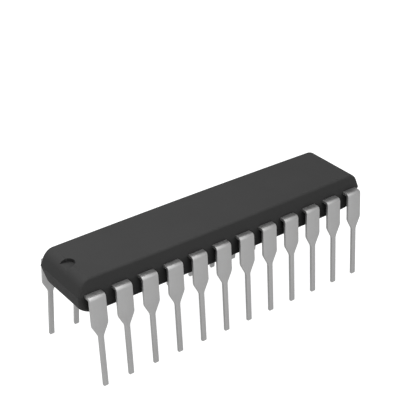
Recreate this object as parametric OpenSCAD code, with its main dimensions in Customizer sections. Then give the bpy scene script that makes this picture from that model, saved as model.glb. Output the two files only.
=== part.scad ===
// Dual in-line integrated circuit, plastic case, two rows of through-hole leads.
// The origin is on the plane of the lead tips, midway between the rows and midway along them.
// +X runs along the case away from the index notch, +Z is up, and lead 1 is at -X on the -Y row.
// Leads are numbered along the -Y row towards +X, then back along the +Y row.

/* [Leads] */
// Leads in each row
leads_per_side = 12; // [8:2:12]
// Distance between neighbouring leads
pitch = 2.54; // [2.4:0.01:2.8]
// Thickness of the lead frame strip
lead_thickness = 0.25; // [0.2:0.01:0.3]
// Width of a lead's wide upper part
shoulder_width = 1.52; // [1.2:0.01:1.7]
// Width of a lead's narrow pin
pin_width = 0.45; // [0.36:0.01:0.55]
// Length of the narrow pin
pin_length = 4.9; // [3.5:0.05:5.5]
// Length of the taper between pin and wide part
taper_length = 1.05; // [0.7:0.05:1.6]
// Height of the shoulder's upper face over the tips
shoulder_height = 8.6; // [8.2:0.02:9.4]
// How far the bent face stands out from the case
shoulder_reach = 0.68; // [0.5:0.01:0.9]
// Inside radius of the bend
bend_radius = 0.05; // [0.03:0.01:0.07]
// Angle by which the rows lean outwards
splay_angle = 4.6; // [0:0.1:8]
// Rounding of the pin's tip
tip_radius = 0.14; // [0.05:0.01:0.16]
// Rounding of the corners of the taper
taper_radius = 0.6; // [0.2:0.05:0.8]

/* [Case] */
// Case beyond the centre of the end leads
case_end_margin = 1.3; // [1.1:0.01:1.8]
// Width of the case at its parting line
case_width = 6.4; // [6.2:0.05:6.8]
// Height of the case above its parting line
upper_height = 1.49; // [1.3:0.01:1.8]
// Height of the case below its parting line
lower_height = 1.98; // [1.5:0.01:2.3]
// Draft of the long sides above the parting line
upper_side_draft = 5; // [3:0.5:10]
// Draft of the ends above the parting line
upper_end_draft = 17.5; // [8:0.5:26]
// Draft of the long sides below the parting line
lower_side_draft = 5; // [3:0.5:10]
// Draft of the ends below the parting line
lower_end_draft = 12; // [8:0.5:22]
// Radius of the case's corners at the parting line
corner_radius = 0.15; // [0.1:0.05:0.4]
// Radius of the case's corners at its top
top_corner_radius = 0.3; // [0.2:0.05:1]
// Radius of the case's corners at its bottom
bottom_corner_radius = 0.85; // [0.4:0.05:1.2]
// How much the long sides fall back towards their ends
side_bow = 0.13; // [0:0.01:0.2]
// Rounding along the long edges
side_edge_radius = 0.2; // [0.05:0.01:0.3]
// Rounding along the end edges
end_edge_radius = 0.75; // [0.4:0.05:0.9]

/* [Index notch] */
// Radius of the notch
notch_radius = 0.62; // [0.4:0.02:0.9]
// Depth of the notch
notch_depth = 0.31; // [0.2:0.01:0.5]
// Distance of the notch's centre from the end of the case
notch_inset = 0.95; // [0.8:0.05:1.4]

/* [Lead frame inside the case] */
// Length of the wide part that is held in the case
root_depth = 0.55; // [0.5:0.01:0.6]
// Radius of the anchor notches in the sides of that part
anchor_radius = 0.13; // [0.1:0.01:0.15]
// Width of the inner fingers
finger_width = 0.25; // [0.2:0.01:0.3]
// Gap between the paddle and the finger tips
finger_gap = 0.25; // [0.2:0.01:0.3]
// Spacing of the finger tips along the paddle
tip_pitch = 0.85; // [0.75:0.01:0.9]
// Spacing of the fingers that end at the paddle's short sides
track_pitch = 0.45; // [0.4:0.01:0.48]
// Width of the bars that carry the paddle
tie_bar_width = 0.3; // [0.2:0.01:0.36]
// Gap between a tie bar and the nearest finger
tie_bar_gap = 0.225; // [0.15:0.005:0.25]
// Moulding over the cut ends of the tie bars
tie_bar_cover = 0.6; // [0.4:0.05:1]

/* [Die] */
// Length of the silicon die
die_length = 3; // [2.4:0.1:3.4]
// Width of the silicon die
die_width = 2; // [1.6:0.1:2.2]
// Thickness of the silicon die
die_thickness = 0.3; // [0.2:0.01:0.4]
// Paddle beyond the ends of the die
paddle_end_margin = 0.8; // [0.7:0.05:1]
// Paddle beyond the long sides of the die
paddle_side_margin = 0.25; // [0.15:0.01:0.3]
// Depth of the paddle below the lead plane
paddle_downset = 0.25; // [0.15:0.01:0.4]
// Thickness of the adhesive under the die
attach_thickness = 0.03; // [0.02:0.01:0.05]
// Adhesive beyond the edge of the die
attach_fillet = 0.08; // [0.04:0.01:0.12]

/* [Bond wires] */
// Diameter of a bond wire
wire_diameter = 0.033; // [0.025:0.001:0.05]
// Diameter of the ball on the die
ball_diameter = 0.09; // [0.07:0.005:0.12]
// Height of the wire loops over the die
loop_height = 0.22; // [0.15:0.01:0.35]
// Distance of the balls from the edge of the die
pad_inset = 0.15; // [0.1:0.01:0.2]
// Distance of the stitch from the finger's tip
stitch_inset = 0.15; // [0.1:0.01:0.2]

/* [Hidden] */
$fn = 64;
eps = 0.01;

lead_count = 2 * leads_per_side;
first_column_x = -(leads_per_side - 1) * pitch / 2;

// Case
half_length = case_end_margin - first_column_x;
half_width = case_width / 2;
parting_z = shoulder_height - lead_thickness / 2;
case_top_z = parting_z + upper_height;
case_bottom_z = parting_z - lower_height;
corner_steps = 8;
side_steps = 12;
edge_steps = 5;

// Root, bend and leg of a lead
root_end_y = half_width - root_depth;
anchor_share = 0.4;
anchor_y = root_end_y + anchor_share * root_depth;
bend_outer_radius = bend_radius + lead_thickness;
bend_y = half_width + shoulder_reach - bend_outer_radius;
bend_z = shoulder_height - bend_outer_radius;
shoulder_length = bend_y - root_end_y;
leg_length = (bend_z + bend_radius * sin(splay_angle)) / cos(splay_angle);
arc_steps = 6;

// Inner fingers: a row's last few end at the paddle's short sides, its middle six at the long side
middle_fingers = 6;
end_fingers = (leads_per_side - middle_fingers) / 2;
paddle_length = die_length + 2 * paddle_end_margin;
paddle_width = die_width + 2 * paddle_side_margin;
first_track_y = tie_bar_width / 2 + tie_bar_gap + finger_width / 2;
finger_end_x = paddle_length / 2 + finger_gap;
finger_end_y = paddle_width / 2 + finger_gap;
finger_nest = 0.25;
knee_rise = 0.3;
elbow_drop = 0.05;

// Heights inside the case
frame_z = shoulder_height - lead_thickness;
paddle_z = frame_z - paddle_downset;
attach_z = paddle_z + lead_thickness;
die_z = attach_z + attach_thickness;
die_top_z = die_z + die_thickness;
joggle_length = 0.4;
joggle_start = 0.15;

// Bond wires: a flattened ball, given as shares of the neck's height and the ball's radius,
// a loop that bends down over the last part of its span, and a stitch pressed wide and flat
wire_sides = 6;
wire_steps = 8;
flat_factor = cos(180 / wire_sides);
neck_height = 0.05;
ball_profile = [[0, 0.8], [1 / 3, 1], [2 / 3, 0.7]];
landing_share = 0.6;
stitch_length = 0.08;
stitch_width_factor = 1.8;
stitch_height_factor = 0.45;

function two_digits(k) = k < 10 ? str("0", k) : str(k);
function lead_name(k) = str("lead_", two_digits(k));
function wire_name(k) = str("bond_wire_", two_digits(k));

// Numbering: the column counts from -X in both rows, the row is -1 or 1
function column(k) = k <= leads_per_side ? k : lead_count + 1 - k;
function row(k) = k <= leads_per_side ? -1 : 1;
function column_x(c) = first_column_x + (c - 1) * pitch;
function x_side(c) = column_x(c) < 0 ? -1 : 1;

// Place counted from the row's end, from 1, and from its middle, from 0
function end_order(c) = min(c, leads_per_side + 1 - c);
function middle_order(c) = leads_per_side / 2 - end_order(c);
function ends_at_short_side(c) = end_order(c) <= end_fingers;
function track_y(c) = first_track_y + (end_order(c) - 1) * track_pitch;

// Tip of a finger in a row on the +Y side
function finger_tip(c) = ends_at_short_side(c)
    ? [x_side(c) * finger_end_x, track_y(c)]
    : [x_side(c) * (middle_order(c) + 0.5) * tip_pitch, finger_end_y];

// Outward direction of a finger's last straight stretch
function finger_out(c) = ends_at_short_side(c) ? [x_side(c), 0] : [0, 1];

// Centre line of a finger from inside its root to its tip; outer fingers nest inside each other
function finger_path(c) = ends_at_short_side(c)
    ? [
        [column_x(c), root_end_y + finger_nest],
        [column_x(c), track_y(c)],
        finger_tip(c)
    ]
    : [
        [column_x(c), root_end_y + finger_nest],
        [column_x(c), root_end_y - elbow_drop - middle_order(c) * finger_nest],
        [
            finger_tip(c)[0],
            finger_end_y + knee_rise + (middle_fingers / 2 - 1 - middle_order(c)) * finger_nest
        ],
        finger_tip(c)
    ];

// Unit vector, and its left-hand normal
function unit(v) = v / norm(v);
function left_of(v) = [-v[1], v[0]];

// Mitred side of a strip at point i of its centre line
function strip_normal(path, i) =
    let (
        before = left_of(unit(path[max(i, 1)] - path[max(i, 1) - 1])),
        after = left_of(unit(path[min(i + 1, len(path) - 1)] - path[min(i, len(path) - 2)]))
    )
    (before + after) / (1 + before * after);

// Outline of a strip of constant width along a centre line
function strip_outline(path, width) = concat(
    [for (i = [0 : len(path) - 1]) path[i] + strip_normal(path, i) * width / 2],
    [for (i = [len(path) - 1 : -1 : 0]) path[i] - strip_normal(path, i) * width / 2]
);

// Arc that rounds the corner b between a and c
function rounded_corner(a, b, c, radius) =
    let (
        to_a = unit(a - b),
        to_c = unit(c - b),
        half_angle = acos(to_a * to_c) / 2,
        reach = radius / tan(half_angle),
        centre = b + unit(to_a + to_c) * radius / sin(half_angle),
        start = b + to_a * reach - centre,
        end = b + to_c * reach - centre
    )
    [for (i = [0 : arc_steps])
        let (
            mix = i / arc_steps,
            turn = 180 - 2 * half_angle,
            w_start = sin((1 - mix) * turn) / sin(turn),
            w_end = sin(mix * turn) / sin(turn)
        )
        centre + start * w_start + end * w_end
    ];

// Half outline of a lead seen square to its leg: x is half the width, y is 0 at the bend's centre
// and grows towards the tip
function leg_side() =
    let (
        wide = shoulder_width / 2,
        narrow = pin_width / 2,
        pin_y = leg_length - pin_length,
        taper_y = pin_y - taper_length
    )
    concat(
        [[wide, -bend_outer_radius - shoulder_length]],
        rounded_corner([wide, 0], [wide, taper_y], [narrow, pin_y], taper_radius),
        rounded_corner([wide, taper_y], [narrow, pin_y], [narrow, leg_length], taper_radius),
        rounded_corner([narrow, pin_y], [narrow, leg_length], [0, leg_length], tip_radius)
    );

function mirrored_outline(side) = concat(
    side,
    [for (i = [len(side) - 1 : -1 : 0]) [-side[i][0], side[i][1]]]
);

// How far an edge of this radius has come in at this depth below its plane
function edge_inset(radius, depth) =
    depth >= radius ? 0 : radius - sqrt(radius * radius - pow(radius - depth, 2));

// Half size of the case at height z, for one pair of drafts and one edge radius
function case_half(half, upper_draft, lower_draft, radius, z) = z >= parting_z
    ? half - (z - parting_z) * tan(upper_draft) - edge_inset(radius, case_top_z - z)
    : half - (parting_z - z) * tan(lower_draft) - edge_inset(radius, z - case_bottom_z);

// Corner radius at height z, which grows evenly from the parting line to the top and to the bottom
function case_corner(z) = z >= parting_z
    ? corner_radius + (top_corner_radius - corner_radius) * (z - parting_z) / upper_height
    : corner_radius + (bottom_corner_radius - corner_radius) * (parting_z - z) / lower_height;

// Plan of the case: round corners of radius r, and long sides that bow outwards a little
function bowed_y(x, l, w) = w - side_bow * pow(x / l, 2);
function case_outline(l, w, r, z) =
    let (
        flat_x = l - r,
        corner_y = bowed_y(flat_x, l, w) - r
    )
    [for (half = [1, -1])
        each concat(
            [for (i = [0 : corner_steps])
                let (a = 90 * i / corner_steps)
                [half * (flat_x + r * cos(a)), half * (corner_y + r * sin(a)), z]
            ],
            [for (i = [1 : side_steps - 1])
                let (x = flat_x * (1 - 2 * i / side_steps))
                [half * x, half * bowed_y(x, l, w), z]
            ],
            [for (i = [0 : corner_steps])
                let (a = 90 + 90 * i / corner_steps)
                [half * (-flat_x + r * cos(a)), half * (corner_y + r * sin(a)), z]
            ]
        )
    ];
function case_ring(z) = case_outline(
    case_half(half_length, upper_end_draft, lower_end_draft, end_edge_radius, z),
    case_half(half_width, upper_side_draft, lower_side_draft, side_edge_radius, z),
    case_corner(z),
    z
);

// Heights of the rings that the case is lofted through
edge_depths = [for (i = [0 : edge_steps]) end_edge_radius * (1 - cos(90 * i / edge_steps))];
case_heights = concat(
    [for (d = edge_depths) case_bottom_z + d],
    [parting_z],
    [for (i = [edge_steps : -1 : 0]) case_top_z - edge_depths[i]]
);

// Ball and stitch of wire k
function pad_place(k) =
    let (c = column(k), tip = finger_tip(c), x = die_length / 2 - pad_inset, y = die_width / 2 - pad_inset)
    ends_at_short_side(c)
        ? [x_side(c) * x, row(k) * y * tip[1] / finger_end_y]
        : [x * tip[0] / (middle_fingers / 2 * tip_pitch), row(k) * y];
function stitch_place(k) =
    let (c = column(k), p = finger_tip(c) + stitch_inset * finger_out(c))
    [p[0], row(k) * p[1]];

// Ring of a wire: centre, axes and half sizes across and up
function wire_ring(centre, across, up, half_across, half_up) = [
    for (i = [0 : wire_sides - 1])
        let (a = 360 * i / wire_sides)
        centre + across * half_across * cos(a) + up * half_up * sin(a)
];

// Point of a cubic curve and its direction
function curve_point(p, t) =
    pow(1 - t, 3) * p[0] + 3 * t * pow(1 - t, 2) * p[1] + 3 * t * t * (1 - t) * p[2] + pow(t, 3) * p[3];
function curve_direction(p, t) = unit(
    pow(1 - t, 2) * (p[1] - p[0]) + 2 * t * (1 - t) * (p[2] - p[1]) + t * t * (p[3] - p[2])
);

// Rings of wire k: flattened ball, neck, loop and flattened stitch
function wire_rings(k) =
    let (
        r = wire_diameter / 2,
        pad = pad_place(k),
        landing = stitch_place(k),
        along = unit(landing - pad),
        ahead = [along[0], along[1], 0],
        across = [-along[1], along[0], 0],
        stitch_half_up = stitch_height_factor * r,
        stitch_half_across = stitch_width_factor * r,
        top = [pad[0], pad[1], die_top_z],
        up = [0, 0, 1],
        stitch_z = shoulder_height + flat_factor * stitch_half_up,
        foot = [landing[0], landing[1], stitch_z] - stitch_length * ahead,
        start = top + neck_height * up,
        drop = landing_share * norm(landing - pad) * ahead,
        curve = [start, start + loop_height * up, foot - drop + loop_height * up, foot]
    )
    concat(
        [for (p = ball_profile)
            let (half = p[1] * ball_diameter / 2)
            wire_ring(top + p[0] * neck_height * up, across, -ahead, half, half)
        ],
        [for (i = [0 : wire_steps - 1])
            let (t = i / wire_steps)
            wire_ring(curve_point(curve, t), across, cross(curve_direction(curve, t), across), r, r)
        ],
        [for (step = [0, 1])
            wire_ring(foot + step * stitch_length * ahead, across, up, stitch_half_across, stitch_half_up)
        ]
    );

// Closed solid through rings of equal point counts, each ring anticlockwise seen from the next
module loft(rings) {
    n = len(rings[0]);
    last = len(rings) - 1;
    points = [for (ring = rings) each ring];
    walls = [for (j = [0 : last - 1], i = [0 : n - 1])
        let (a = j * n + i, b = j * n + (i + 1) % n)
        each [[a, a + n, b + n], [a, b + n, b]]
    ];
    floor_face = [for (i = [0 : n - 1]) i];
    roof_face = [for (i = [n - 1 : -1 : 0]) last * n + i];
    polyhedron(points, concat([floor_face], walls, [roof_face]), convexity = 4);
}

// Side view of all that lies inside one face of the bent strip, with y to the right and z up:
// under the shoulder, round the bend and behind the leg, which runs on past its tip
module inside_of_face(radius, spare) {
    below_tip = lead_thickness + spare;
    translate([root_end_y - spare, -spare])
        square([shoulder_length + spare, bend_z + radius + spare]);
    translate([bend_y, bend_z])
        rotate(splay_angle) {
            circle(radius);
            translate([-spare, -leg_length - below_tip])
                square([radius + spare, leg_length + below_tip]);
        }
}

// Strip from its root over the bend to the tip: the bent sheet, cut to its outline
module bent_strip() {
    intersection() {
        rotate([90, 0, 90])
            linear_extrude(2 * shoulder_width, center = true)
                difference() {
                    inside_of_face(bend_outer_radius, 0);
                    inside_of_face(bend_radius, lead_thickness);
                }
        translate([0, bend_y, bend_z])
            rotate([splay_angle - 90, 0, 0])
                translate([0, 0, -shoulder_length - lead_thickness])
                    linear_extrude(shoulder_length + bend_outer_radius + 2 * lead_thickness)
                        polygon(mirrored_outline(leg_side()));
    }
}

// One lead of the row on the +Y side, with a finger inside the case and anchor notches in its root
module lead_shape(c) {
    difference() {
        union() {
            translate([column_x(c), 0, 0])
                bent_strip();
            translate([0, 0, frame_z])
                linear_extrude(lead_thickness)
                    polygon(strip_outline(finger_path(c), finger_width));
        }
        for (side = [-1, 1])
            translate([column_x(c) + side * shoulder_width / 2, anchor_y, frame_z - eps])
                cylinder(r = anchor_radius, h = lead_thickness + 2 * eps);
    }
}

module lead(k) {
    color([0.63, 0.63, 0.63])
        mirror([0, row(k) < 0 ? 1 : 0, 0])
            lead_shape(column(k));
}

// Paddle with its two joggled tie bars, stamped from the same strip as the leads
module die_paddle() {
    color([0.72, 0.45, 0.3]) {
        translate([-paddle_length / 2, -paddle_width / 2, paddle_z])
            cube([paddle_length, paddle_width, lead_thickness]);
        for (turn = [0, 180])
            rotate([0, 0, turn])
                translate([0, tie_bar_width / 2, 0])
                    rotate([90, 0, 0])
                        linear_extrude(tie_bar_width)
                            polygon(tie_bar_outline());
    }
}
function tie_bar_outline() =
    let (
        low = [[paddle_length / 2 - joggle_start, paddle_z], [paddle_length / 2 + joggle_start, paddle_z]],
        high = [
            [paddle_length / 2 + joggle_start + joggle_length, frame_z],
            [half_length - tie_bar_cover, frame_z]
        ],
        line = concat(low, high)
    )
    concat(line, [for (i = [len(line) - 1 : -1 : 0]) line[i] + [0, lead_thickness]]);

module die_attach() {
    length = die_length + 2 * attach_fillet;
    width = die_width + 2 * attach_fillet;
    color([0.8, 0.8, 0.78])
        translate([-length / 2, -width / 2, attach_z])
            cube([length, width, attach_thickness]);
}

module silicon_die() {
    color([0.3, 0.32, 0.4])
        translate([-die_length / 2, -die_width / 2, die_z])
            cube([die_length, die_width, die_thickness]);
}

module bond_wire(k) {
    color([0.9, 0.72, 0.3])
        loft(wire_rings(k));
}

// Half-moon index notch, open to the end of the case
module index_notch() {
    translate([notch_inset - half_length, 0, case_top_z - notch_depth]) {
        cylinder(r = notch_radius, h = notch_depth + eps);
        translate([-notch_inset - eps, -notch_radius, 0])
            cube([notch_inset + eps, 2 * notch_radius, notch_depth + eps]);
    }
}

// Moulded case, closed tightly around the lead frame, the die and its wires
module case() {
    color([0.25, 0.25, 0.25])
        difference() {
            loft([for (z = case_heights) case_ring(z)]);
            index_notch();
            die_paddle();
            die_attach();
            silicon_die();
            for (k = [1 : lead_count]) {
                lead(k);
                bond_wire(k);
            }
        }
}

case();
die_paddle();
die_attach();
silicon_die();
for (k = [1 : lead_count]) {
    lead(k);
    bond_wire(k);
}
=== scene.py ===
"""Dual in-line integrated circuit: its moulded case, its plated leads and what the moulding seals in.

The case and the leads are modelled here to the frame's own sizes, with the soft edges that moulding and
stamping leave. The sealed paddle, adhesive, die and wires keep their frame shapes and get finishes.
A piece is worked on the bench in millimetres and scaled to metres once, when it is done.
"""

import logging
import math
from dataclasses import dataclass, field
from enum import Enum
from typing import Callable, Sequence

import bmesh
import bpy
from mathutils import Euler, Matrix, Vector


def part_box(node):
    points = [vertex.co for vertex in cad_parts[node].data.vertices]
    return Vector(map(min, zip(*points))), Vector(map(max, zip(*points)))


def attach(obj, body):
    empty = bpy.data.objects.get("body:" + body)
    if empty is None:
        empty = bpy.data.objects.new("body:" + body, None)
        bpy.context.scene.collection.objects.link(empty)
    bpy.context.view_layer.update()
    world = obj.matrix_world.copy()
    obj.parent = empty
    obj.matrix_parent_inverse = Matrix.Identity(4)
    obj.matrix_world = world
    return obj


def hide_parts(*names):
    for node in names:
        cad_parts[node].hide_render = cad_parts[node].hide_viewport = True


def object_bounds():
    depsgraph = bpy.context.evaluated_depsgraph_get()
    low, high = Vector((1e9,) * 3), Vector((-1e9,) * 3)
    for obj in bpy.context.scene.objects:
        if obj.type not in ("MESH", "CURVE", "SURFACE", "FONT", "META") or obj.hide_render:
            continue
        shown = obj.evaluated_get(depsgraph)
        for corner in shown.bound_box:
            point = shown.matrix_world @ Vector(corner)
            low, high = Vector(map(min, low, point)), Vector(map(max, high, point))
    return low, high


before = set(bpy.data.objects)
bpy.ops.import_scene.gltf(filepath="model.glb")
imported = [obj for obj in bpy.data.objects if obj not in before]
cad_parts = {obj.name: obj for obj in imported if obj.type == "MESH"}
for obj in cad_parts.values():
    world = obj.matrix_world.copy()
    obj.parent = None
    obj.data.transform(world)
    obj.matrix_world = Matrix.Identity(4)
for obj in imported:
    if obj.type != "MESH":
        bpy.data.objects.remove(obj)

log = logging.getLogger("dip_circuit")

MM = 0.001
BODY = "root"
FRAME_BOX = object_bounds()

# Starts of the names of the nodes that the case closes around.
SEALED = ("lead_", "die_paddle", "die_attach", "silicon_die", "bond_wire_")

# A point this near to a plane lies in it, in millimetres.
TOUCH = 1e-4
# A limit is moved by this much to take in what ends at it, in millimetres.
MARGIN = 1e-3
# Points nearer to each other than this are merged, in millimetres.
MERGE = 1e-5
# A direction with at least this share along an axis counts as lying along it.
FACING = 0.9

# Most of a noise's values lie between these two.
NOISE_MIDDLE = (0.3, 0.7)
# Places of the two colours among the Mix node's inputs, and of their blend among its outputs.
MIX_FIRST = 6
MIX_SECOND = 7
MIX_RESULT = 2
WHITE = (1.0, 1.0, 1.0, 1.0)

Piece = bpy.types.Object
Material = bpy.types.Material
Socket = bpy.types.NodeSocket
Level = float | Socket
Colour = tuple[float, float, float, float]
Point = tuple[float, float]
Place = tuple[float, float, float]


class Pick(Enum):
    """What a selection is made of in edit mode."""

    POINTS = "VERT"
    EDGES = "EDGE"
    FACES = "FACE"


class Cut(Enum):
    """What a second piece does to the first one."""

    TAKE_AWAY = "DIFFERENCE"
    JOIN = "UNION"


class Row(Enum):
    """The two rows of leads, by the side of the case that they stand on."""

    NEAR = -1
    FAR = 1


def millimetres(corner: Vector) -> Vector:
    """Turns a corner from the frame's metres into bench millimetres."""
    return corner / MM


def nodes_called(start: str) -> dict[str, Piece]:
    """Gives the frame's nodes whose names start so, in the order of their names."""
    return {name: node for name, node in sorted(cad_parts.items()) if name.startswith(start)}


def deselect_everything() -> None:
    """Leaves object mode with nothing selected, the frame's nodes included."""
    if bpy.context.object and bpy.context.object.mode != "OBJECT":
        bpy.ops.object.mode_set(mode="OBJECT")
    bpy.ops.object.select_all(action="DESELECT")


def take_up(piece: Piece) -> None:
    """Makes one piece the active one and the only one that is selected.

    Args:
        piece: The piece to work on.
    """
    deselect_everything()
    piece.select_set(True)
    bpy.context.view_layer.objects.active = piece


def new_block(name: str, low: Sequence[float], high: Sequence[float]) -> Piece:
    """Adds a block between two corners, as a start for shaping.

    Args:
        name: Name of the new object.
        low: Its lowest corner, in millimetres.
        high: Its highest corner, in millimetres.

    Returns:
        The block, in object mode, with its size in its mesh.
    """
    deselect_everything()
    centre = [(a + b) / 2 for a, b in zip(low, high)]
    size = [b - a for a, b in zip(low, high)]
    bpy.ops.mesh.primitive_cube_add(size=1, location=centre, scale=size)
    return named(name)


def new_sheet(name: str, centre: Sequence[float], size: Point) -> Piece:
    """Adds a flat rectangle that faces up.

    Args:
        name: Name of the new object.
        centre: Its centre, in millimetres.
        size: Its length along X and its width along Y, in millimetres.

    Returns:
        The rectangle, in object mode, with its size in its mesh.
    """
    deselect_everything()
    bpy.ops.mesh.primitive_plane_add(size=1, location=centre)
    sheet = bpy.context.object
    sheet.scale = (size[0], size[1], 1)
    return named(name)


def new_rod(name: str, centre: Sequence[float], radius: float, height: float, sides: int) -> Piece:
    """Adds an upright rod, used as a cutting tool.

    Args:
        name: Name of the new object.
        centre: Its centre, in millimetres.
        radius: Its radius, in millimetres.
        height: Its height, in millimetres.
        sides: How many sides it has.

    Returns:
        The rod, in object mode.
    """
    deselect_everything()
    bpy.ops.mesh.primitive_cylinder_add(vertices=sides, radius=radius, depth=height, location=centre)
    return named(name)


def named(name: str) -> Piece:
    """Names the new active object and moves its place and size into its mesh.

    Args:
        name: The name.

    Returns:
        The object.
    """
    piece = bpy.context.object
    piece.name = name
    piece.data.name = name
    bpy.ops.object.transform_apply(location=True, rotation=True, scale=True)
    return piece


def duplicate(piece: Piece, name: str) -> Piece:
    """Copies a piece with a mesh of its own.

    Args:
        piece: The piece.
        name: Name of the copy.

    Returns:
        The copy.
    """
    copy = piece.copy()
    copy.data = piece.data.copy()
    copy.name = name
    copy.data.name = name
    bpy.context.scene.collection.objects.link(copy)
    return copy


def pick(piece: Piece, kind: Pick, test: Callable[..., bool]) -> None:
    """Selects in edit mode whatever passes a test on its place or its normal.

    Args:
        piece: The piece, which is taken into edit mode if it isn't there.
        kind: Whether points, edges or faces are tested.
        test: Takes one point, edge or face and says whether it is wanted.
    """
    if bpy.context.object is not piece or piece.mode != "EDIT":
        take_up(piece)
        bpy.ops.object.mode_set(mode="EDIT")
    bpy.ops.mesh.select_mode(type=kind.value)
    bpy.ops.mesh.select_all(action="DESELECT")
    mesh = bmesh.from_edit_mesh(piece.data)
    items = {Pick.POINTS: mesh.verts, Pick.EDGES: mesh.edges, Pick.FACES: mesh.faces}[kind]
    for item in items:
        if test(item):
            item.select_set(True)
    mesh.select_flush(True)
    bmesh.update_edit_mesh(piece.data)


def anything(item: object) -> bool:
    """Passes every point, edge or face."""
    return True


def level_at(point: bmesh.types.BMVert, z: float) -> bool:
    """Says whether a point lies at a height."""
    return abs(point.co.z - z) < TOUCH


def flat_at(face: bmesh.types.BMFace, z: float) -> bool:
    """Says whether all of a face lies at a height."""
    return all(level_at(point, z) for point in face.verts)


def edge_middle(edge: bmesh.types.BMEdge) -> Vector:
    """Gives the point halfway along an edge."""
    return (edge.verts[0].co + edge.verts[1].co) / 2


def edge_direction(edge: bmesh.types.BMEdge) -> Vector:
    """Gives the direction of an edge, with length 1."""
    return (edge.verts[1].co - edge.verts[0].co).normalized()


def pull_faces(step: Sequence[float]) -> None:
    """Extrudes the selected faces by a step."""
    bpy.ops.mesh.extrude_region_move(TRANSFORM_OT_translate={"value": tuple(step)})


def pull_edges(step: Sequence[float]) -> None:
    """Extrudes the selected edges by a step."""
    bpy.ops.mesh.extrude_edges_move(TRANSFORM_OT_translate={"value": tuple(step)})


def shift(step: Sequence[float]) -> None:
    """Moves what is selected by a step."""
    bpy.ops.transform.translate(value=tuple(step))


def close_up(piece: Piece) -> None:
    """Merges doubled points, turns every face outwards and leaves edit mode.

    Args:
        piece: The piece, in edit mode or not.
    """
    pick(piece, Pick.POINTS, anything)
    bpy.ops.mesh.remove_doubles(threshold=MERGE)
    bpy.ops.mesh.normals_make_consistent(inside=False)
    deselect_everything()


def combine(piece: Piece, tool: Piece, cut: Cut) -> None:
    """Cuts a piece with a tool, or joins the two, and uses the tool up.

    Args:
        piece: The piece that stays.
        tool: The piece that is used up.
        cut: What the tool does.
    """
    take_up(piece)
    modifier = piece.modifiers.new(cut.name.lower(), "BOOLEAN")
    modifier.operation = cut.value
    modifier.solver = "EXACT"
    modifier.object = tool
    bpy.ops.object.modifier_apply(modifier=modifier.name)
    bpy.data.objects.remove(tool)


def soften(piece: Piece, width: float, segments: int, from_angle: float) -> None:
    """Rounds a piece's sharp edges a little, as stamping or moulding leaves them.

    Args:
        piece: The piece.
        width: Width of the rounding, in the piece's units.
        segments: How many faces the rounding has.
        from_angle: Edges at least this sharp are rounded, in degrees.
    """
    take_up(piece)
    modifier = piece.modifiers.new("soft_edges", "BEVEL")
    modifier.width = width
    modifier.segments = segments
    modifier.limit_method = "ANGLE"
    modifier.angle_limit = math.radians(from_angle)
    modifier.use_clamp_overlap = True
    bpy.ops.object.modifier_apply(modifier=modifier.name)


class Cells(Enum):
    """How the cells of a pattern meet."""

    IRREGULAR = "EUCLIDEAN"
    SQUARE = "CHEBYCHEV"


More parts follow.
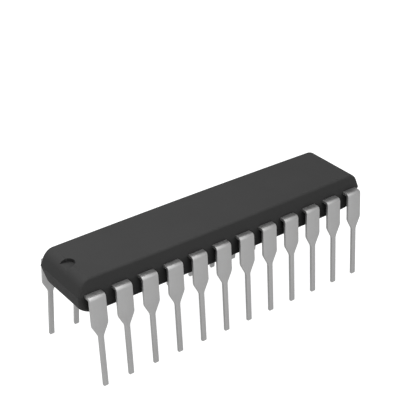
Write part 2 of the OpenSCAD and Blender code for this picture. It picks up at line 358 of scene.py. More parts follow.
class Shader:
    """The node tree of a material or of the sky, with short ways to add nodes and join them."""

    def __init__(self, owner: Material | bpy.types.World, output: str) -> None:
        """Clears the owner's node tree and adds its output.

        Args:
            owner: The material or the world.
            output: The output node's type, without its leading "ShaderNode".
        """
        self.owner = owner
        owner.use_nodes = True
        self.tree = owner.node_tree
        self.tree.nodes.clear()
        self.output = self.tree.nodes.new("ShaderNode" + output)

    def add(self, kind: str, inputs: dict | None = None, **settings: str) -> bpy.types.Node:
        """Adds a node.

        Args:
            kind: The node's type, without its leading "ShaderNode".
            inputs: Values or other nodes' outputs, by the input's name or number.
            **settings: The node's own settings.

        Returns:
            The node.
        """
        node = self.tree.nodes.new("ShaderNode" + kind)
        for key, value in settings.items():
            setattr(node, key, value)
        for key, value in (inputs or {}).items():
            if isinstance(value, Socket):
                self.tree.links.new(value, node.inputs[key])
            else:
                node.inputs[key].default_value = value
        return node

    def calculate(self, operation: str, *values: Level) -> Socket:
        """Gives the result of one operation on up to three values."""
        return self.add("Math", dict(enumerate(values)), operation=operation).outputs[0]

    def place(self) -> Socket:
        """Gives the object coordinates of the point that is shaded."""
        return self.add("TexCoord").outputs["Object"]

    def noise(
        self, grain: float, detail: float = 2.0, stretch: Place = (1, 1, 1), rough: float = 0.5
    ) -> Socket:
        """Gives a noise of a known grain.

        Args:
            grain: Size of its largest features, in millimetres.
            detail: How many finer layers it has.
            stretch: How far its features are drawn out along each axis.
            rough: How strong the finer layers are.

        Returns:
            The noise's value, from 0 to 1.
        """
        scale = tuple(1 / (grain * MM * axis) for axis in stretch)
        mapping = self.add("Mapping", {"Vector": self.place(), "Scale": scale})
        node = self.add(
            "TexNoise",
            {"Vector": mapping.outputs[0], "Scale": 1.0, "Detail": detail, "Roughness": rough},
        )
        return node.outputs["Fac"]

    def cells(self, size: float, kind: Cells) -> Socket:
        """Gives each cell of a pattern a value of its own.

        Args:
            size: Size of the cells, in millimetres.
            kind: How the cells meet.

        Returns:
            The cell's value, from 0 to 1.
        """
        inputs = {"Vector": self.place(), "Scale": 1 / (size * MM)}
        pattern = self.add("TexVoronoi", inputs, distance=kind.value)
        return self.add("SeparateColor", {"Color": pattern.outputs["Color"]}).outputs[0]

    def remap(self, value: Socket, start: Point, end: tuple[Level, Level]) -> Socket:
        """Turns the values between two limits into the values between two others."""
        limits = {"From Min": start[0], "From Max": start[1], "To Min": end[0], "To Max": end[1]}
        return self.add("MapRange", {"Value": value, **limits}).outputs[0]

    def spread(self, value: Socket, low: float = 0.0, high: float = 1.0) -> Socket:
        """Spreads the middle of a noise's range over two values."""
        return self.remap(value, NOISE_MIDDLE, (low, high))

    def blend(self, share: Socket, first: Colour | Socket, second: Colour | Socket) -> Socket:
        """Blends two colours.

        Args:
            share: Share of the second colour.
            first: The first colour, or a socket that gives one.
            second: The second colour, or a socket that gives one.

        Returns:
            The blended colour.
        """
        inputs = {"Factor": share, MIX_FIRST: first, MIX_SECOND: second}
        return self.add("Mix", inputs, data_type="RGBA").outputs[MIX_RESULT]

    def bump(self, height: Socket, depth: float, strength: float) -> Socket:
        """Gives a normal roughened by a height, whose depth is in millimetres."""
        node = self.add("Bump", {"Height": height, "Distance": depth * MM, "Strength": strength})
        return node.outputs[0]

    def by_ray(self, plain: float, mirrored: float, seen: float) -> Socket:
        """Gives a strength that depends on the ray that meets the surface or the sky.

        Args:
            plain: Strength for the light that falls on things.
            mirrored: Strength that metal and glass show.
            seen: Strength that the camera sees.

        Returns:
            The strength.
        """
        path = self.add("LightPath").outputs
        mirror = self.calculate("MAXIMUM", path["Is Glossy Ray"], path["Is Transmission Ray"])
        strength = self.remap(mirror, (0.0, 1.0), (plain, mirrored))
        return self.remap(path["Is Camera Ray"], (0.0, 1.0), (strength, seen))

    def close(self, surface: bpy.types.Node) -> Material | bpy.types.World:
        """Joins a surface shader to the output and gives the material or the world."""
        self.tree.links.new(surface.outputs[0], self.output.inputs["Surface"])
        return self.owner

    def coat(self, inputs: dict) -> Material:
        """Closes the material with a principled surface that has these inputs."""
        return self.close(self.add("BsdfPrincipled", inputs))


def grey(level: float, warmth: float = 0.0) -> Colour:
    """Gives a grey of a linear level, with red raised and blue lowered by a share."""
    return (level * (1 + warmth), level, level * (1 - warmth), 1.0)


@dataclass(frozen=True)
class Finish:
    """A finish, made into a material the first time that it is asked for. Sizes in millimetres."""

    name: str

    def material(self) -> Material:
        """Gives the finish's material."""
        made = bpy.data.materials.get(self.name)
        return made or self.build(Shader(bpy.data.materials.new(self.name), "OutputMaterial"))

    def build(self, shader: Shader) -> Material:
        """Builds the finish's nodes."""
        raise NotImplementedError


@dataclass(frozen=True)
class MouldedEpoxy(Finish):
    """Black epoxy with the fine matte skin of a spark-eroded mould, and painted shade in its tight
    corners.
    """

    name: str = "moulded_epoxy"
    tone: float = 0.042
    mottle: float = 0.06
    cloud_grain: float = 3.5
    roughness: Point = (0.56, 0.68)
    shine: float = 0.08
    skin_grain: float = 0.07
    skin_depth: float = 0.006
    skin_strength: float = 0.6
    # Reach, occlusion limits and darkest level of the painted shade in tight corners.
    corner_reach: float = 1.3
    corner_openness: Point = (0.25, 0.85)
    corner_shade: float = 0.2

    def build(self, shader: Shader) -> Material:
        """Builds a mottled dark colour under a fine pitted skin, with painted shade that darkens the
        colour and dims the reflection in tight corners.

        Args:
            shader: The empty material.

        Returns:
            The material.
        """
        cloud = shader.spread(shader.noise(self.cloud_grain, detail=4.0))
        dark = grey(self.tone * (1 - self.mottle))
        light = grey(self.tone * (1 + self.mottle))
        skin = shader.noise(self.skin_grain, detail=3.0, rough=0.6)
        colour = shader.blend(shader.spread(skin), shader.blend(cloud, dark, light), light)
        # Painted shade: ambient occlusion darkens the colour and dims the reflection in corners,
        # hollows and the notch.
        openness = shader.add("AmbientOcclusion", {"Distance": self.corner_reach * MM}).outputs["AO"]
        unshaded = shader.remap(openness, self.corner_openness, (self.corner_shade, 1.0))
        inputs = {
            "Base Color": shader.blend(unshaded, grey(self.tone * self.corner_shade), colour),
            "Roughness": shader.spread(skin, *self.roughness),
            "Specular IOR Level": shader.calculate("MULTIPLY", unshaded, self.shine),
            "Normal": shader.bump(skin, self.skin_depth, self.skin_strength),
        }
        return shader.coat(inputs)


@dataclass(frozen=True)
class TinPlate(Finish):
    """Satin tin plate outside the moulding, over bare copper alloy inside it."""

    name: str = "tin_plate"
    tone: float = 0.46
    bright_share: float = 1.06
    bright_warmth: float = 0.004
    dull_share: float = 0.9
    dull_warmth: float = 0.006
    bare_alloy: Colour = (0.60, 0.29, 0.17, 1.0)
    roughness: Point = (0.45, 0.57)
    stain_grain: float = 0.8
    streak_grain: float = 0.05
    streak_length: float = 40.0
    streak_depth: float = 0.004
    streak_strength: float = 0.5
    plated_from: float = 3.0

    def build(self, shader: Shader) -> Material:
        """Builds faint streaks along the strip, and bare alloy where the moulding kept the plate off.

        Args:
            shader: The empty material.

        Returns:
            The material.
        """
        stretch = (1.0, self.streak_length, self.streak_length)
        streak = shader.noise(self.streak_grain, detail=3.0, stretch=stretch, rough=0.6)
        stain = shader.spread(shader.noise(self.stain_grain, detail=3.0))
        bright = grey(self.tone * self.bright_share, self.bright_warmth)
        dull = grey(self.tone * self.dull_share, self.dull_warmth)
        streaked = shader.blend(shader.spread(streak), dull, bright)
        tin = shader.blend(stain, streaked, grey(self.tone))
        across = shader.add("SeparateXYZ", {"Vector": shader.place()}).outputs["Y"]
        from_middle = shader.calculate("ABSOLUTE", across)
        plated = shader.calculate("GREATER_THAN", from_middle, self.plated_from * MM)
        inputs = {
            "Base Color": shader.blend(plated, self.bare_alloy, tin),
            "Metallic": 1.0,
            "Roughness": shader.spread(streak, *self.roughness),
            "Normal": shader.bump(streak, self.streak_depth, self.streak_strength),
        }
        return shader.coat(inputs)


@dataclass(frozen=True)
class BareCopper(Finish):
    """Rolled copper alloy, as the sealed part of the lead frame."""

    name: str = "bare_copper"
    dark: Colour = (0.52, 0.25, 0.15, 1.0)
    light: Colour = (0.66, 0.34, 0.21, 1.0)
    roughness: Point = (0.3, 0.42)
    streak_grain: float = 0.06
    streak_length: float = 30.0
    streak_depth: float = 0.003
    streak_strength: float = 0.4

    def build(self, shader: Shader) -> Material:
        """Builds a copper colour with rolling streaks along the strip.

        Args:
            shader: The empty material.

        Returns:
            The material.
        """
        streak = shader.noise(self.streak_grain, detail=3.0, stretch=(self.streak_length, 1.0, 1.0))
        inputs = {
            "Base Color": shader.blend(shader.spread(streak), self.dark, self.light),
            "Metallic": 1.0,
            "Roughness": shader.spread(streak, *self.roughness),
            "Normal": shader.bump(streak, self.streak_depth, self.streak_strength),
        }
        return shader.coat(inputs)


@dataclass(frozen=True)
class SilverAdhesive(Finish):
    """Cured epoxy full of silver flakes."""

    name: str = "silver_adhesive"
    dull: float = 0.42
    bright: float = 0.68
    metal_share: float = 0.7
    roughness: Point = (0.3, 0.6)
    flake_size: float = 0.03

    def build(self, shader: Shader) -> Material:
        """Builds a pale grey with bright flakes.

        Args:
            shader: The empty material.

        Returns:
            The material.
        """
        flakes = shader.cells(self.flake_size, Cells.IRREGULAR)
        inputs = {
            "Base Color": shader.blend(flakes, grey(self.dull), grey(self.bright)),
            "Metallic": self.metal_share,
            "Roughness": shader.spread(flakes, *self.roughness),
        }
        return shader.coat(inputs)


@dataclass(frozen=True)
class EtchedSilicon(Finish):
    """Polished silicon with blocks of circuit under glassy oxide."""

    name: str = "etched_silicon"
    dark: Colour = (0.07, 0.08, 0.12, 1.0)
    light: Colour = (0.14, 0.13, 0.16, 1.0)
    etched: Colour = (0.1, 0.12, 0.19, 1.0)
    metal_share: float = 0.4
    roughness: float = 0.15
    block_size: float = 0.18
    row_grain: float = 0.06

    def build(self, shader: Shader) -> Material:
        """Builds blocks of slightly different blue-grey with fine etched rows.

        Args:
            shader: The empty material.

        Returns:
            The material.
        """
        blocks = shader.cells(self.block_size, Cells.SQUARE)
        scale = 1 / (self.row_grain * MM)
        wave = shader.add("TexWave", {"Vector": shader.place(), "Scale": scale}, bands_direction="Y")
        rows = wave.outputs["Fac"]
        ground = shader.blend(blocks, self.dark, self.light)
        inputs = {
            "Base Color": shader.blend(rows, ground, self.etched),
            "Metallic": self.metal_share,
            "Roughness": self.roughness,
        }
        return shader.coat(inputs)


@dataclass(frozen=True)
class GoldWire(Finish):
    """Bright drawn gold."""

    name: str = "gold_wire"
    dark: Colour = (0.80, 0.55, 0.18, 1.0)
    light: Colour = (0.88, 0.64, 0.26, 1.0)
    roughness: Point = (0.16, 0.26)
    mark_grain: float = 0.01

    def build(self, shader: Shader) -> Material:
        """Builds gold with faint drawing marks.

        Args:
            shader: The empty material.

        Returns:
            The material.
        """
        marks = shader.noise(self.mark_grain)
        inputs = {
            "Base Color": shader.blend(marks, self.dark, self.light),
            "Metallic": 1.0,
            "Roughness": shader.spread(marks, *self.roughness),
        }
        return shader.coat(inputs)


@dataclass(frozen=True)
class PaleFloor(Finish):
    """White studio floor that still takes the object's shadow."""

    name: str = "pale_floor"
    glow: float = 0.94
    mirrored_glow: float = 0.52
    diffuse: float = 0.36

    def build(self, shader: Shader) -> Material:
        """Builds a matt floor whose own glow only the camera and metal see.

        Args:
            shader: The empty material.

        Returns:
            The material.
        """
        strength = shader.by_ray(0.0, self.mirrored_glow, self.glow)
        glow = shader.add("Emission", {"Color": WHITE, "Strength": strength})
        matt = shader.add("BsdfDiffuse", {"Color": grey(self.diffuse)})
        return shader.close(shader.add("AddShader", {0: glow.outputs[0], 1: matt.outputs[0]}))


def finish_piece(piece: Piece, node: str, finish: Finish, smooth_angle: float) -> Piece:
    """Scales a bench piece to metres, dresses it and puts it in its node's place.

    Args:
        piece: The finished mesh, in millimetres.
        node: The frame node that it stands for, whose name it takes.
        finish: The finish that it gets.
        smooth_angle: Edges flatter than this are shaded smooth, in degrees.

    Returns:
        The piece.
    """
    take_up(piece)
    piece.scale = (MM, MM, MM)
    bpy.ops.object.transform_apply(location=True, rotation=True, scale=True)
    bpy.ops.object.shade_smooth_by_angle(angle=math.radians(smooth_angle))
    piece.name = f"{node}_finished"
    piece.data.materials.clear()
    piece.data.materials.append(finish.material())
    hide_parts(node)
    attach(piece, BODY)
    log.info("%s: box within %.3f mm of its node", piece.name, box_gap(piece, node))
    return piece


def box_gap(piece: Piece, node: str) -> float:
    """Measures how far the sides of a piece's box are from its node's box.

    Args:
        piece: The piece, in metres.
        node: The frame node.

    Returns:
        The largest of the distances, in millimetres.
    """
    corners = [piece.matrix_world @ Vector(corner) for corner in piece.bound_box]
    gaps = []
    for limit, side in zip((min, max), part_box(node)):
        for axis in range(3):
            gaps.append(abs(limit(corner[axis] for corner in corners) - side[axis]))
    return max(gaps) / MM


def edge_inset(radius: float, depth: float) -> float:
    """Gives how far an edge of that radius has come in at a depth below its face."""
    above_centre = max(radius - depth, 0.0)
    return radius - math.sqrt(radius**2 - above_centre**2)


@dataclass(frozen=True)
class Half:
    """One half of the case, above or below the parting line. Sizes in millimetres and degrees."""

    end_z: float
    end_draft: float
    side_draft: float
    corner: float


@dataclass(frozen=True)
class Ring:
    """One level of the case, counted from the parting line. Sizes in millimetres."""

    level: float
    end_inset: float
    side_inset: float
    corner: float


@dataclass
class MouldedCase:
    """The case: a drafted block with round corners and a notch. Sizes in millimetres and degrees."""

    parting_z: float
    corner_radius: float = 0.15
    top_corner_radius: float = 0.3
    bottom_corner_radius: float = 0.85
    corner_steps: int = 14
    side_steps: int = 20
    side_bow: float = 0.13
    upper_side_draft: float = 5.0
    upper_end_draft: float = 17.5
    lower_side_draft: float = 5.0
    lower_end_draft: float = 12.0
    side_edge_radius: float = 0.2
    end_edge_radius: float = 0.75
    edge_steps: int = 12
    face_margin: float = 0.02
    notch_radius: float = 0.62
    notch_depth: float = 0.31
    notch_inset: float = 0.95
    notch_sides: int = 48
    tool_spare: float = 0.5
    smooth_angle: float = 15.0
    finish: Finish = field(default_factory=MouldedEpoxy)

    def __post_init__(self) -> None:
        """Takes the case's overall size from the frame."""
        low, high = (millimetres(corner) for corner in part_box("case"))
        self.half_length = (high.x - low.x) / 2
        self.half_width = (high.y - low.y) / 2
        self.top_z = high.z
        self.bottom_z = low.z
        self.flat_x = self.half_length - self.corner_radius

    def build(self) -> Piece:
        """Models the case, cuts its notch and its seats, and dresses it.

        Returns:
            The case.
        """
        case = self.plan()
        upper = Half(self.top_z, self.upper_end_draft, self.upper_side_draft, self.top_corner_radius)
        low_corner = self.bottom_corner_radius
        lower = Half(self.bottom_z, self.lower_end_draft, self.lower_side_draft, low_corner)
        self.raise_half(case, upper)
        self.raise_half(case, lower)
        close_up(case)
        for tool in (self.notch_tool(), *sealed_tools()):
            combine(case, tool, Cut.TAKE_AWAY)
        return finish_piece(case, "case", self.finish, self.smooth_angle)

    def plan(self) -> Piece:
        """Models the flat outline at the parting line, with round corners and bowed sides.

        Returns:
            One flat face that faces up.
        """
        size = (2 * self.half_length, 2 * self.half_width)
        case = new_sheet("case_bench", (0, 0, self.parting_z), size)
        pick(case, Pick.POINTS, anything)
        rounding = {"offset": self.corner_radius, "segments": self.corner_steps}
        bpy.ops.mesh.bevel(affect="VERTICES", offset_type="OFFSET", **rounding)
        side_y = self.half_width - MARGIN
        pick(case, Pick.EDGES, lambda edge: all(abs(point.co.y) > side_y for point in edge.verts))
        bpy.ops.mesh.subdivide(number_cuts=self.side_steps - 1)
        for side in (-1, 1):
            for step in range(self.side_steps // 2 + 1):
                self.bow_columns(case, 2 * self.flat_x * step / self.side_steps, side)
        return case

    def bow(self, x: float) -> float:
        """Gives how far a long side has fallen back at a distance x from the middle."""
        return self.side_bow * (x / self.half_length) ** 2

    def bow_columns(self, case: Piece, x: float, side: int) -> None:
        """Moves a side's points at a distance x from the middle inwards, as its bow asks.

        Args:
            case: The outline.
            x: The distance. The column where the corner starts takes the whole corner with it.
            side: -1 or 1, the side's sign along Y.
        """
        at_corner = x > self.flat_x - MARGIN

        def here(point: bmesh.types.BMVert) -> bool:
            """Says whether a point belongs to this column, or to the corner past it."""
            gap = abs(point.co.x) - x
            return point.co.y * side > 0 and gap > -MARGIN and (at_corner or gap < MARGIN)

        pick(case, Pick.POINTS, here)
        shift((0, -side * self.bow(x), 0))

    def raise_half(self, case: Piece, half: Half) -> None:
        """Extrudes one half of the case from the parting line, ring by ring, to its rounded face.

        Args:
            case: The outline, or the outline with its upper half.
            half: The half that is raised.
        """
        way = 1 if half.end_z > self.parting_z else -1
        height = abs(half.end_z - self.parting_z)
        z = self.parting_z
        pick(case, Pick.FACES, lambda face: face.normal.z * way > FACING and flat_at(face, z))
        below = Ring(0.0, 0.0, 0.0, self.corner_radius)
        for step in range(self.edge_steps, -1, -1):
            drop = self.end_edge_radius * (1 - math.cos(math.pi / 2 * step / self.edge_steps))
            ring = self.ring(height - drop, height, half)
            pull_faces((0, 0, way * (ring.level - below.level)))
            self.draw_in(case, self.parting_z + way * ring.level, ring, below)
            below = ring
        bpy.ops.mesh.inset(thickness=self.face_margin)

    def ring(self, level: float, height: float, half: Half) -> Ring:
        """Works out one level of a half.

        Args:
            level: Distance from the parting line.
            height: Distance of the half's flat face from the parting line.
            half: The half.

        Returns:
            The ring at that level.
        """
        depth = height - level
        end_inset = level * math.tan(math.radians(half.end_draft))
        end_inset += edge_inset(self.end_edge_radius, depth)
        side_inset = level * math.tan(math.radians(half.side_draft))
        side_inset += edge_inset(self.side_edge_radius, depth)
        corner = self.corner_radius + (half.corner - self.corner_radius) * level / height
        return Ring(level, end_inset, side_inset, corner)

    def draw_in(self, case: Piece, z: float, ring: Ring, below: Ring) -> None:
        """Draws the newest ring in to its size, then gives its corners their radius.

        Args:
            case: The case.
            z: The ring's height.
            ring: The newest ring.
            below: The ring that it was extruded from.
        """
        # The ends and the sides move in by their own steps, and the corners go with them unchanged.
        steps = (ring.end_inset - below.end_inset, ring.side_inset - below.side_inset)
        for axis, way in ((0, -1), (0, 1), (1, -1), (1, 1)):
            pick(case, Pick.POINTS, lambda point: level_at(point, z) and point.co[axis] * way > TOUCH)
            move = [0.0, 0.0, 0.0]
            move[axis] = -way * steps[axis]
            shift(move)
        # Each corner then grows from the point where its end and its side would cross.
        end_x = self.half_length - ring.end_inset
        corner_y = self.half_width - self.bow(self.flat_x) - ring.side_inset
        start_x = end_x - below.corner - MARGIN
        growth = ring.corner / below.corner
        for x_way, y_way in ((-1, -1), (-1, 1), (1, -1), (1, 1)):
            pick(
                case,
                Pick.POINTS,
                lambda point: level_at(point, z)
                and point.co.x * x_way > start_x
                and point.co.y * y_way > 0,
            )
            crossing = (x_way * end_x, y_way * corner_y, z)
            bpy.ops.transform.resize(value=(growth, growth, 1), center_override=crossing)
        pick(case, Pick.FACES, lambda face: flat_at(face, z))

    def notch_tool(self) -> Piece:
        """Models the tool that cuts the notch: half a round pin, drawn out past the end of the case.

        Returns:
            The tool.
        """
        floor_z = self.top_z - self.notch_depth
        centre = (self.notch_inset - self.half_length, 0, floor_z + self.tool_spare)
        tool = new_rod("notch_tool", centre, self.notch_radius, 2 * self.tool_spare, self.notch_sides)
        pick(tool, Pick.POINTS, anything)
        bpy.ops.mesh.bisect(plane_co=centre, plane_no=(1, 0, 0), use_fill=True, clear_inner=True)
        pick(tool, Pick.FACES, lambda face: face.normal.x < -FACING)
        pull_faces((-self.notch_inset - self.tool_spare, 0, 0))
        close_up(tool)
        return tool


def sealed_tools() -> list[Piece]:
    """Copies the sealed nodes, so that the case can be closed tightly around them.

    Returns:
        One tool for each start of a name, in millimetres.
    """
    tools = []
    for start in SEALED:
        copies = [duplicate(node, f"{name}_tool") for name, node in nodes_called(start).items()]
        for copy in copies:
            copy.parent = None
        take_up(copies[0])
        for copy in copies[1:]:
            copy.select_set(True)
        if len(copies) > 1:
            bpy.ops.object.join()
        tool = copies[0]
        tool.scale = (1 / MM, 1 / MM, 1 / MM)
        bpy.ops.object.transform_apply(location=True, rotation=True, scale=True)
        close_up(tool)
        tools.append(tool)
    return tools


@dataclass
class StampedLeads:
    """The leads: one stamped and bent form, copied to each place, with its own inner finger.

    Sizes are in millimetres and degrees.
    """

    thickness: float = 0.25
    shoulder_width: float = 1.52
    pin_width: float = 0.45
    pin_length: float = 4.9
    taper_length: float = 1.05
    shoulder_reach: float = 0.68
    bend_radius: float = 0.05
    bend_steps: int = 10
    splay: float = 4.6
    tip_radius: float = 0.14
    taper_radius: float = 0.6
    curve_steps: int = 6
    root_depth: float = 0.55
    anchor_radius: float = 0.13
    anchor_share: float = 0.4
    anchor_sides: int = 32
    finger_width: float = 0.25
    finger_gap: float = 0.25
    finger_nest: float = 0.25
    middle_fingers: int = 6
    tip_pitch: float = 0.85
    track_pitch: float = 0.45
    first_track: float = 0.5
    paddle_end_margin: float = 0.8
    knee_rise: float = 0.3
    elbow_drop: float = 0.05
    edge_softness: float = 0.02
    edge_faces: int = 2
    sharp_angle: float = 40.0
    smooth_angle: float = 35.0
    finish: Finish = field(default_factory=TinPlate)

    def __post_init__(self) -> None:
        """Takes the leads' count, spacing and height from the frame, and works out where they bend."""
        self.names = list(nodes_called("lead_"))
        self.per_side = len(self.names) // 2
        first_low, first_high = (millimetres(corner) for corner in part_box("lead_01"))
        self.pitch = millimetres(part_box("lead_02")[0]).x - first_low.x
        self.first_x = first_low.x + self.shoulder_width / 2
        self.shoulder_z = first_high.z
        case_half_width = millimetres(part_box("case")[1]).y
        self.root_end_y = case_half_width - self.root_depth
        self.outer_radius = self.bend_radius + self.thickness
        self.bend_y = case_half_width + self.shoulder_reach - self.outer_radius
        self.bend_z = self.shoulder_z - self.outer_radius
        lean = math.radians(self.splay)
        self.leg_length = (self.bend_z + self.bend_radius * math.sin(lean)) / math.cos(lean)
        self.wide_length = self.leg_length - self.pin_length - self.taper_length
        self.end_fingers = (self.per_side - self.middle_fingers) // 2
        paddle_end_x = millimetres(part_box("silicon_die")[1]).x + self.paddle_end_margin
        self.finger_end_x = paddle_end_x + self.finger_gap
        self.finger_end_y = millimetres(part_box("die_paddle")[1]).y + self.finger_gap

    def build(self) -> list[Piece]:
        """Models one lead outside the case, copies it to every place and gives each its finger.

        Returns:
            The leads, in the order of their numbers.
        """
        form = self.bent_form()
        leads = []
        for number, name in enumerate(self.names, start=1):
            row = Row.NEAR if number <= self.per_side else Row.FAR
            column = number if row is Row.NEAR else len(self.names) + 1 - number
            lead = self.placed(form, name, row, column)
            combine(lead, self.finger(row, column), Cut.JOIN)
            close_up(lead)
            soften(lead, self.edge_softness, self.edge_faces, self.sharp_angle)
            leads.append(finish_piece(lead, name, self.finish, self.smooth_angle))
        bpy.data.objects.remove(form)
        return leads

    def bent_form(self) -> Piece:
        """Models the strip from its tip over the bend to its root, for the far side's middle.

        Returns:
            The strip.
        """
        form = self.flat_leg()
        self.round_outline(form)
        self.bend_over(form)
        take_up(form)
        form.rotation_euler = (math.radians(self.splay), 0, 0)
        form.location = (0, self.bend_y, self.bend_z)
        bpy.ops.object.transform_apply(location=True, rotation=True, scale=True)
        close_up(form)
        for side in (-1, 1):
            centre = (
                side * self.shoulder_width / 2,
                self.root_end_y + self.anchor_share * self.root_depth,
                self.shoulder_z - self.thickness / 2,
            )
            height = 2 * self.thickness
            anchor = new_rod("anchor_tool", centre, self.anchor_radius, height, self.anchor_sides)
            combine(form, anchor, Cut.TAKE_AWAY)
        return form

    def flat_leg(self) -> Piece:
        """Models the leg before it is bent: wide part, taper and pin, hanging from the bend's centre.

        Returns:
            The leg.
        """
        half = self.shoulder_width / 2
        low = (-half, self.bend_radius, -self.wide_length)
        form = new_block("lead_form", low, (half, self.outer_radius, 0))
        pick(form, Pick.FACES, lambda face: face.normal.z < -FACING)
        pull_faces((0, 0, -self.taper_length))
        narrowing = self.pin_width / self.shoulder_width
        bpy.ops.transform.resize(value=(narrowing, 1, 1))
        pull_faces((0, 0, -self.pin_length))
        return form

    def round_outline(self, form: Piece) -> None:
        """Rounds the corners of the taper and of the tip, seen square to the leg.

        Args:
            form: The flat leg, in edit mode.
        """
        turn = math.atan2((self.shoulder_width - self.pin_width) / 2, self.taper_length)
        reach = self.taper_radius * math.tan(turn / 2)
        corners = (
            (self.wide_length, reach),
            (self.wide_length + self.taper_length, reach),
            (self.leg_length, self.tip_radius),
        )
        for depth, offset in corners:
            pick(
                form,
                Pick.EDGES,
                lambda edge: abs(edge_direction(edge).y) > FACING
                and abs(edge_middle(edge).z + depth) < MARGIN,
            )
            rounding = {"offset": offset, "segments": self.curve_steps}
            bpy.ops.mesh.bevel(affect="EDGES", offset_type="OFFSET", **rounding)

    def bend_over(self, form: Piece) -> None:
        """Bends the strip over and runs it on to its root inside the case.

        Args:
            form: The flat leg, in edit mode, whose top face is at the bend's centre.
        """
        angle = math.radians(90 - self.splay)
        pick(form, Pick.FACES, lambda face: flat_at(face, 0))
        bpy.ops.mesh.spin(steps=self.bend_steps, angle=angle, center=(0, 0, 0), axis=(-1, 0, 0))
        length = self.bend_y - self.root_end_y
        pull_faces((0, -length * math.sin(angle), length * math.cos(angle)))

    def placed(self, form: Piece, name: str, row: Row, column: int) -> Piece:
        """Copies the bent strip to its place in a row.

        Args:
            form: The strip on the far side, midway along the row.
            name: Name of the lead.
            row: The lead's row.
            column: The lead's place from the notch's end, from 1.

        Returns:
            The copy.
        """
        lead = duplicate(form, f"{name}_bench")
        take_up(lead)
        lead.rotation_euler = (0, 0, math.pi if row is Row.NEAR else 0)
        lead.location = (self.column_x(column), 0, 0)
        bpy.ops.object.transform_apply(location=True, rotation=True, scale=True)
        return lead

    def column_x(self, column: int) -> float:
        """Gives the place of a column along the case."""
        return self.first_x + (column - 1) * self.pitch

    def finger(self, row: Row, column: int) -> Piece:
        """Models a lead's finger: a strip with mitred corners, from its root to its tip by the die.

        Args:
            row: The lead's row.
            column: The lead's place from the notch's end, from 1.

        Returns:
            The finger.
        """
        low_z = self.shoulder_z - self.thickness
        path = [Vector((x, y * row.value, low_z)) for x, y in self.finger_path(column)]
        start_length = self.finger_nest / 2
        first_step = (path[1] - path[0]).normalized()
        start = path[0] - first_step * start_length / 2
        finger = new_sheet("finger_bench", start, (self.finger_width, start_length))
        pick(finger, Pick.EDGES, lambda edge: abs(edge_middle(edge).y - path[0].y) < TOUCH)
        # Each corner is cut at the mean of its two headings, and widened to keep the strip's width.
        # With no window, rotate turns the other way, so the new angle is taken from the old one.
        headings = [math.atan2(b.y - a.y, b.x - a.x) for a, b in zip(path, path[1:])]
        edge_angle, widening = headings[0], 1.0
        next_headings = headings[1:] + headings[-1:]
        for place, before, arriving, leaving in zip(path[1:], path, headings, next_headings):
            turn = (leaving - arriving + math.pi) % (2 * math.pi) - math.pi
            mitre_angle, mitre_widening = arriving + turn / 2, 1 / math.cos(turn / 2)
            pull_edges(place - before)
            turned = edge_angle - mitre_angle
            bpy.ops.transform.rotate(value=turned, orient_axis="Z", center_override=place)
            bpy.ops.transform.resize(value=(mitre_widening / widening,) * 3, center_override=place)
            edge_angle, widening = mitre_angle, mitre_widening
        pick(finger, Pick.FACES, anything)
        pull_faces((0, 0, self.thickness))
        close_up(finger)
        return finger

    def finger_path(self, column: int) -> list[Point]:
        """Gives the centre line of a finger on the far side: outer fingers nest inside each other.

        Args:
            column: The lead's place from the notch's end, from 1.

        Returns:
            The line's points, from the root to the tip.
        """
        x = self.column_x(column)
        side = -1 if x < 0 else 1
        end_order = min(column, self.per_side + 1 - column)
        start = (x, self.root_end_y + self.finger_nest)
        if end_order <= self.end_fingers:
            track_y = self.first_track + (end_order - 1) * self.track_pitch
            return [start, (x, track_y), (side * self.finger_end_x, track_y)]
        from_middle = self.per_side / 2 - end_order
        tip_x = side * (from_middle + 0.5) * self.tip_pitch
        knee = self.knee_rise + (self.middle_fingers / 2 - 1 - from_middle) * self.finger_nest
        return [
            start,
            (x, self.root_end_y - self.elbow_drop - from_middle * self.finger_nest),
            (tip_x, self.finger_end_y + knee),
            (tip_x, self.finger_end_y),
        ]


@dataclass
class SealedParts:
    """What the moulding seals in: paddle, adhesive, die and wires, which keep their frame shapes."""

    finishes: dict[str, Finish] = field(
        default_factory=lambda: {
            "die_paddle": BareCopper(),
            "die_attach": SilverAdhesive(),
            "silicon_die": EtchedSilicon(),
            "bond_wire_": GoldWire(),
        }
    )

    def dress(self) -> list[Piece]:
        """Gives each sealed node its finish.

        Returns:
            The nodes.
        """
        dressed = []
        for start, finish in self.finishes.items():
            for node in nodes_called(start).values():
                if not node.material_slots:
                    node.data.materials.append(None)
                for holder in node.material_slots:
                    holder.material = finish.material()
                dressed.append(node)
        return dressed


@dataclass(frozen=True)
class SoftLamp:
    """A square lamp that faces the case. Place and side in metres, power in watts."""

    name: str
    place: Place
    side: float
    power: float

    def hang(self) -> None:
        """Adds the lamp to the scene."""
        light = bpy.data.lights.new(self.name, "AREA")
        light.size = self.side
        light.energy = self.power
        lamp = bpy.data.objects.new(self.name, light)
        lamp.location = self.place
        aim = Vector((0, 0, FRAME_BOX[1].z)) - Vector(self.place)
        lamp.rotation_euler = aim.to_track_quat("-Z", "Y").to_euler()
        bpy.context.scene.collection.objects.link(lamp)


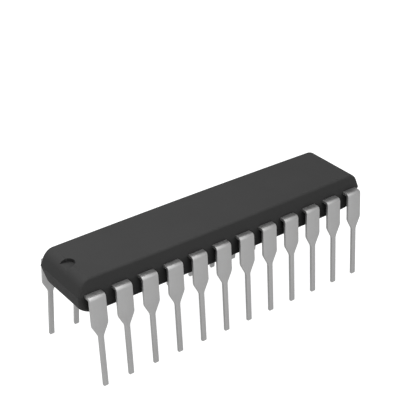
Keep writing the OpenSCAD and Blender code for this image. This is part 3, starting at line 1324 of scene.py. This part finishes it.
@dataclass
class Studio:
    """Floor, soft light and the photograph's camera.

    Lengths are in metres, those of the lens and its sensor in millimetres, and angles in degrees.
    """

    camera_place: Place = (-0.051225, -0.067131, 0.059780)
    azimuth: float = -36.828
    elevation: float = 30.086
    roll: float = 0.09
    focal_length: float = 100.73
    sensor_width: float = 36.0
    clip_start: float = 0.001
    floor_size: float = 3.0
    sky: float = 0.30
    mirrored_sky: float = 0.52
    lamps: tuple[SoftLamp, ...] = (
        SoftLamp("front", place=(-0.02, -0.135, 0.145), side=0.34, power=0.35),
        SoftLamp("over", place=(-0.018, 0.014, 0.055), side=0.07, power=0.027),
    )

    def build(self) -> None:
        """Sets up floor, sky, lamps and camera."""
        self.floor()
        self.world()
        for lamp in self.lamps:
            lamp.hang()
        self.camera()
        bpy.context.scene.view_settings.view_transform = "Standard"

    def floor(self) -> None:
        """Lays the floor that the leads' tips stand on."""
        deselect_everything()
        bpy.ops.mesh.primitive_plane_add(size=self.floor_size, location=(0, 0, 0))
        floor = named("studio_floor")
        floor.data.materials.append(PaleFloor().material())

    def world(self) -> None:
        """Makes an even pale sky: white to the camera, and brighter in metal than as light."""
        shader = Shader(bpy.data.worlds.new("soft_sky"), "OutputWorld")
        strength = shader.by_ray(self.sky, self.mirrored_sky, 1.0)
        background = shader.add("Background", {"Color": WHITE, "Strength": strength})
        bpy.context.scene.world = shader.close(background)

    def camera(self) -> None:
        """Places the camera as the photograph was taken."""
        data = bpy.data.cameras.new("photo_camera")
        data.lens = self.focal_length
        data.sensor_width = self.sensor_width
        data.clip_start = self.clip_start
        camera = bpy.data.objects.new("photo_camera", data)
        camera.location = self.camera_place
        level = Euler((math.radians(90 - self.elevation), 0, math.radians(self.azimuth))).to_matrix()
        camera.rotation_euler = (level @ Matrix.Rotation(math.radians(self.roll), 3, "Z")).to_euler()
        bpy.context.scene.collection.objects.link(camera)
        bpy.context.scene.camera = camera


def main() -> None:
    """Sets up the studio, builds the pieces in order and reports each one."""
    logging.basicConfig(level=logging.INFO, format="%(message)s")
    Studio().build()
    leads = StampedLeads()
    case = MouldedCase(parting_z=leads.shoulder_z - leads.thickness / 2)
    for piece in (case.build(), *leads.build(), *SealedParts().dress()):
        finish = piece.material_slots[0].material.name
        log.info("%s: %d faces in %s", piece.name, len(piece.data.polygons), finish)


if __name__ == "__main__":
    main()
